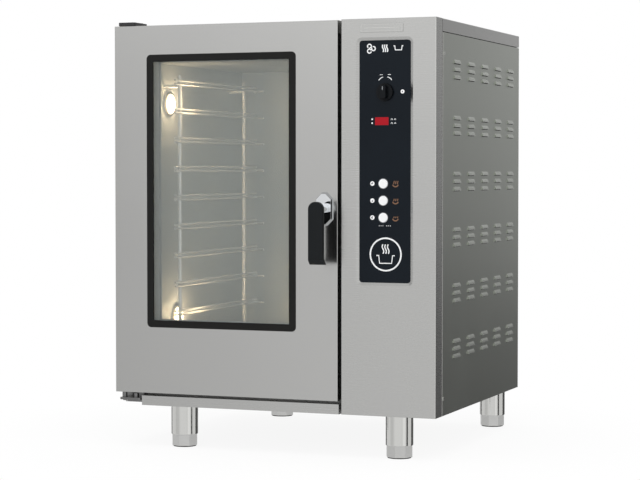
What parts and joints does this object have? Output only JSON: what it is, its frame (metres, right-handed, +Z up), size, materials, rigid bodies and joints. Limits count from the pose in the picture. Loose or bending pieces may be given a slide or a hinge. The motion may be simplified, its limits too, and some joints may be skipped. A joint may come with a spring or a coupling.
{
  "type": "combi steamer oven",
  "caption": "Restaurant combi steamer oven with a left-hung glass door, a lever handle, tray racks, a fan-heated cavity and a control column on levelling legs.",
  "frame": {"origin": "centre of the bounding box's bottom, on the floor under the feet", "axes": "+X to the right seen from the front, +Y to the back, +Z up"},
  "size_m": [0.9204, 0.894, 1.177],
  "materials": {
    "casing_steel": "satin",
    "cavity_steel": "polished",
    "polished_steel": "polished",
    "black_steel": "satin",
    "black_rubber": "matte",
    "clear_glass": "polished",
    "panel_black": "gloss",
    "black_plastic": "satin",
    "white_plastic": "gloss",
    "display_red": "gloss",
    "board_green": "matte",
    "terminal_grey": "matte",
    "motor_casing": "satin",
    "brass_fitting": "satin",
    "mineral_wool": "matte"
  },
  "bodies": {
    "cabinet": {"base_pan": "casing_steel", "side_panel_left": "casing_steel", "side_panel_right": "casing_steel", "rear_panel": "casing_steel", "top_cover": "casing_steel", "divider": "casing_steel", "front_frame": "casing_steel", "control_fascia": "casing_steel", "drip_tray": "casing_steel", "panel_screws": "casing_steel", "cavity_liner": "cavity_steel", "fan_baffle": "cavity_steel", "tray_rack_left": "cavity_steel", "tray_rack_right": "cavity_steel", "temperature_probe": "cavity_steel", "drain_pipe": "cavity_steel", "vent_chimney": "cavity_steel", "steam_pipe": "cavity_steel", "ring_heaters": "cavity_steel", "lamp_bezels": "cavity_steel", "latch_keeper": "cavity_steel", "hinge_bracket_lower": "polished_steel", "badge_plate": "polished_steel", "leg_sleeves": "polished_steel", "hinge_bracket_upper": "black_steel", "door_gasket": "black_rubber", "lamp_glasses": "clear_glass", "control_panel": "panel_black", "cable_gland": "black_plastic", "contactor_block": "black_plastic", "indicator_lenses": "white_plastic", "button_bezels": "white_plastic", "display_window": "display_red", "control_board": "board_green", "terminal_block": "terminal_grey", "fan_motors": "motor_casing", "water_valve": "brass_fitting", "insulation_jacket": "mineral_wool"},
    "door": {"door_shell": "casing_steel", "door_inner_panel": "cavity_steel", "window_frame": "black_rubber", "outer_glass": "clear_glass", "glass_spacer": "cavity_steel", "inner_glass": "clear_glass", "hinge_bushes": "brass_fitting", "handle_rosette": "polished_steel"},
    "handle": {"handle_neck": "polished_steel", "handle_grip": "black_plastic", "latch_cam": "cavity_steel"},
    "knob": {"control_knob": "black_plastic"},
    "button_1": {"mode_button_1": "white_plastic"},
    "button_2": {"mode_button_2": "white_plastic"},
    "button_3": {"mode_button_3": "white_plastic"},
    "fan_upper": {"fan_wheel_upper": "cavity_steel"},
    "fan_lower": {"fan_wheel_lower": "cavity_steel"},
    "foot_front_left": {"foot_front_left": "polished_steel"},
    "foot_front_right": {"foot_front_right": "polished_steel"},
    "foot_rear_left": {"foot_rear_left": "polished_steel"},
    "foot_rear_right": {"foot_rear_right": "polished_steel"}
  },
  "joints": [
    {"name": "door_hinge", "type": "hinge", "parent": "cabinet", "child": "door", "pos_m": [-0.44525, -0.352, 0.627], "axis": [0, 0, -1], "range_deg": [0, 120]},
    {"name": "handle_turn", "type": "hinge", "parent": "door", "child": "handle", "pos_m": [0.15175, -0.377, 0.649], "axis": [0, 1, 0], "range_deg": [0, 90]},
    {"name": "knob_turn", "type": "hinge", "parent": "cabinet", "child": "knob", "pos_m": [0.31725, -0.377, 0.952], "axis": [0, 1, 0], "continuous": true},
    {"name": "button_1_press", "type": "slide", "parent": "cabinet", "child": "button_1", "axis": [0, 1, 0], "range_m": [0, 0.002], "stiffness_N_per_m": 500, "springref_m": -0.002},
    {"name": "button_2_press", "type": "slide", "parent": "cabinet", "child": "button_2", "axis": [0, 1, 0], "range_m": [0, 0.002], "stiffness_N_per_m": 500, "springref_m": -0.002},
    {"name": "button_3_press", "type": "slide", "parent": "cabinet", "child": "button_3", "axis": [0, 1, 0], "range_m": [0, 0.002], "stiffness_N_per_m": 500, "springref_m": -0.002},
    {"name": "fan_lower_spin", "type": "hinge", "parent": "cabinet", "child": "fan_lower", "pos_m": [0.12375, 0.018, 0.412], "axis": [1, 0, 0], "continuous": true},
    {"name": "fan_upper_spin", "type": "hinge", "parent": "cabinet", "child": "fan_upper", "pos_m": [0.12375, 0.018, 0.842], "axis": [1, 0, 0], "continuous": true},
    {"name": "front_left_levelling", "type": "slide", "parent": "cabinet", "child": "foot_front_left", "axis": [0, 0, -1], "range_m": [0, 0.025]},
    {"name": "front_right_levelling", "type": "slide", "parent": "cabinet", "child": "foot_front_right", "axis": [0, 0, -1], "range_m": [0, 0.025]},
    {"name": "rear_left_levelling", "type": "slide", "parent": "cabinet", "child": "foot_rear_left", "axis": [0, 0, -1], "range_m": [0, 0.025]},
    {"name": "rear_right_levelling", "type": "slide", "parent": "cabinet", "child": "foot_rear_right", "axis": [0, 0, -1], "range_m": [0, 0.025]}
  ]
}
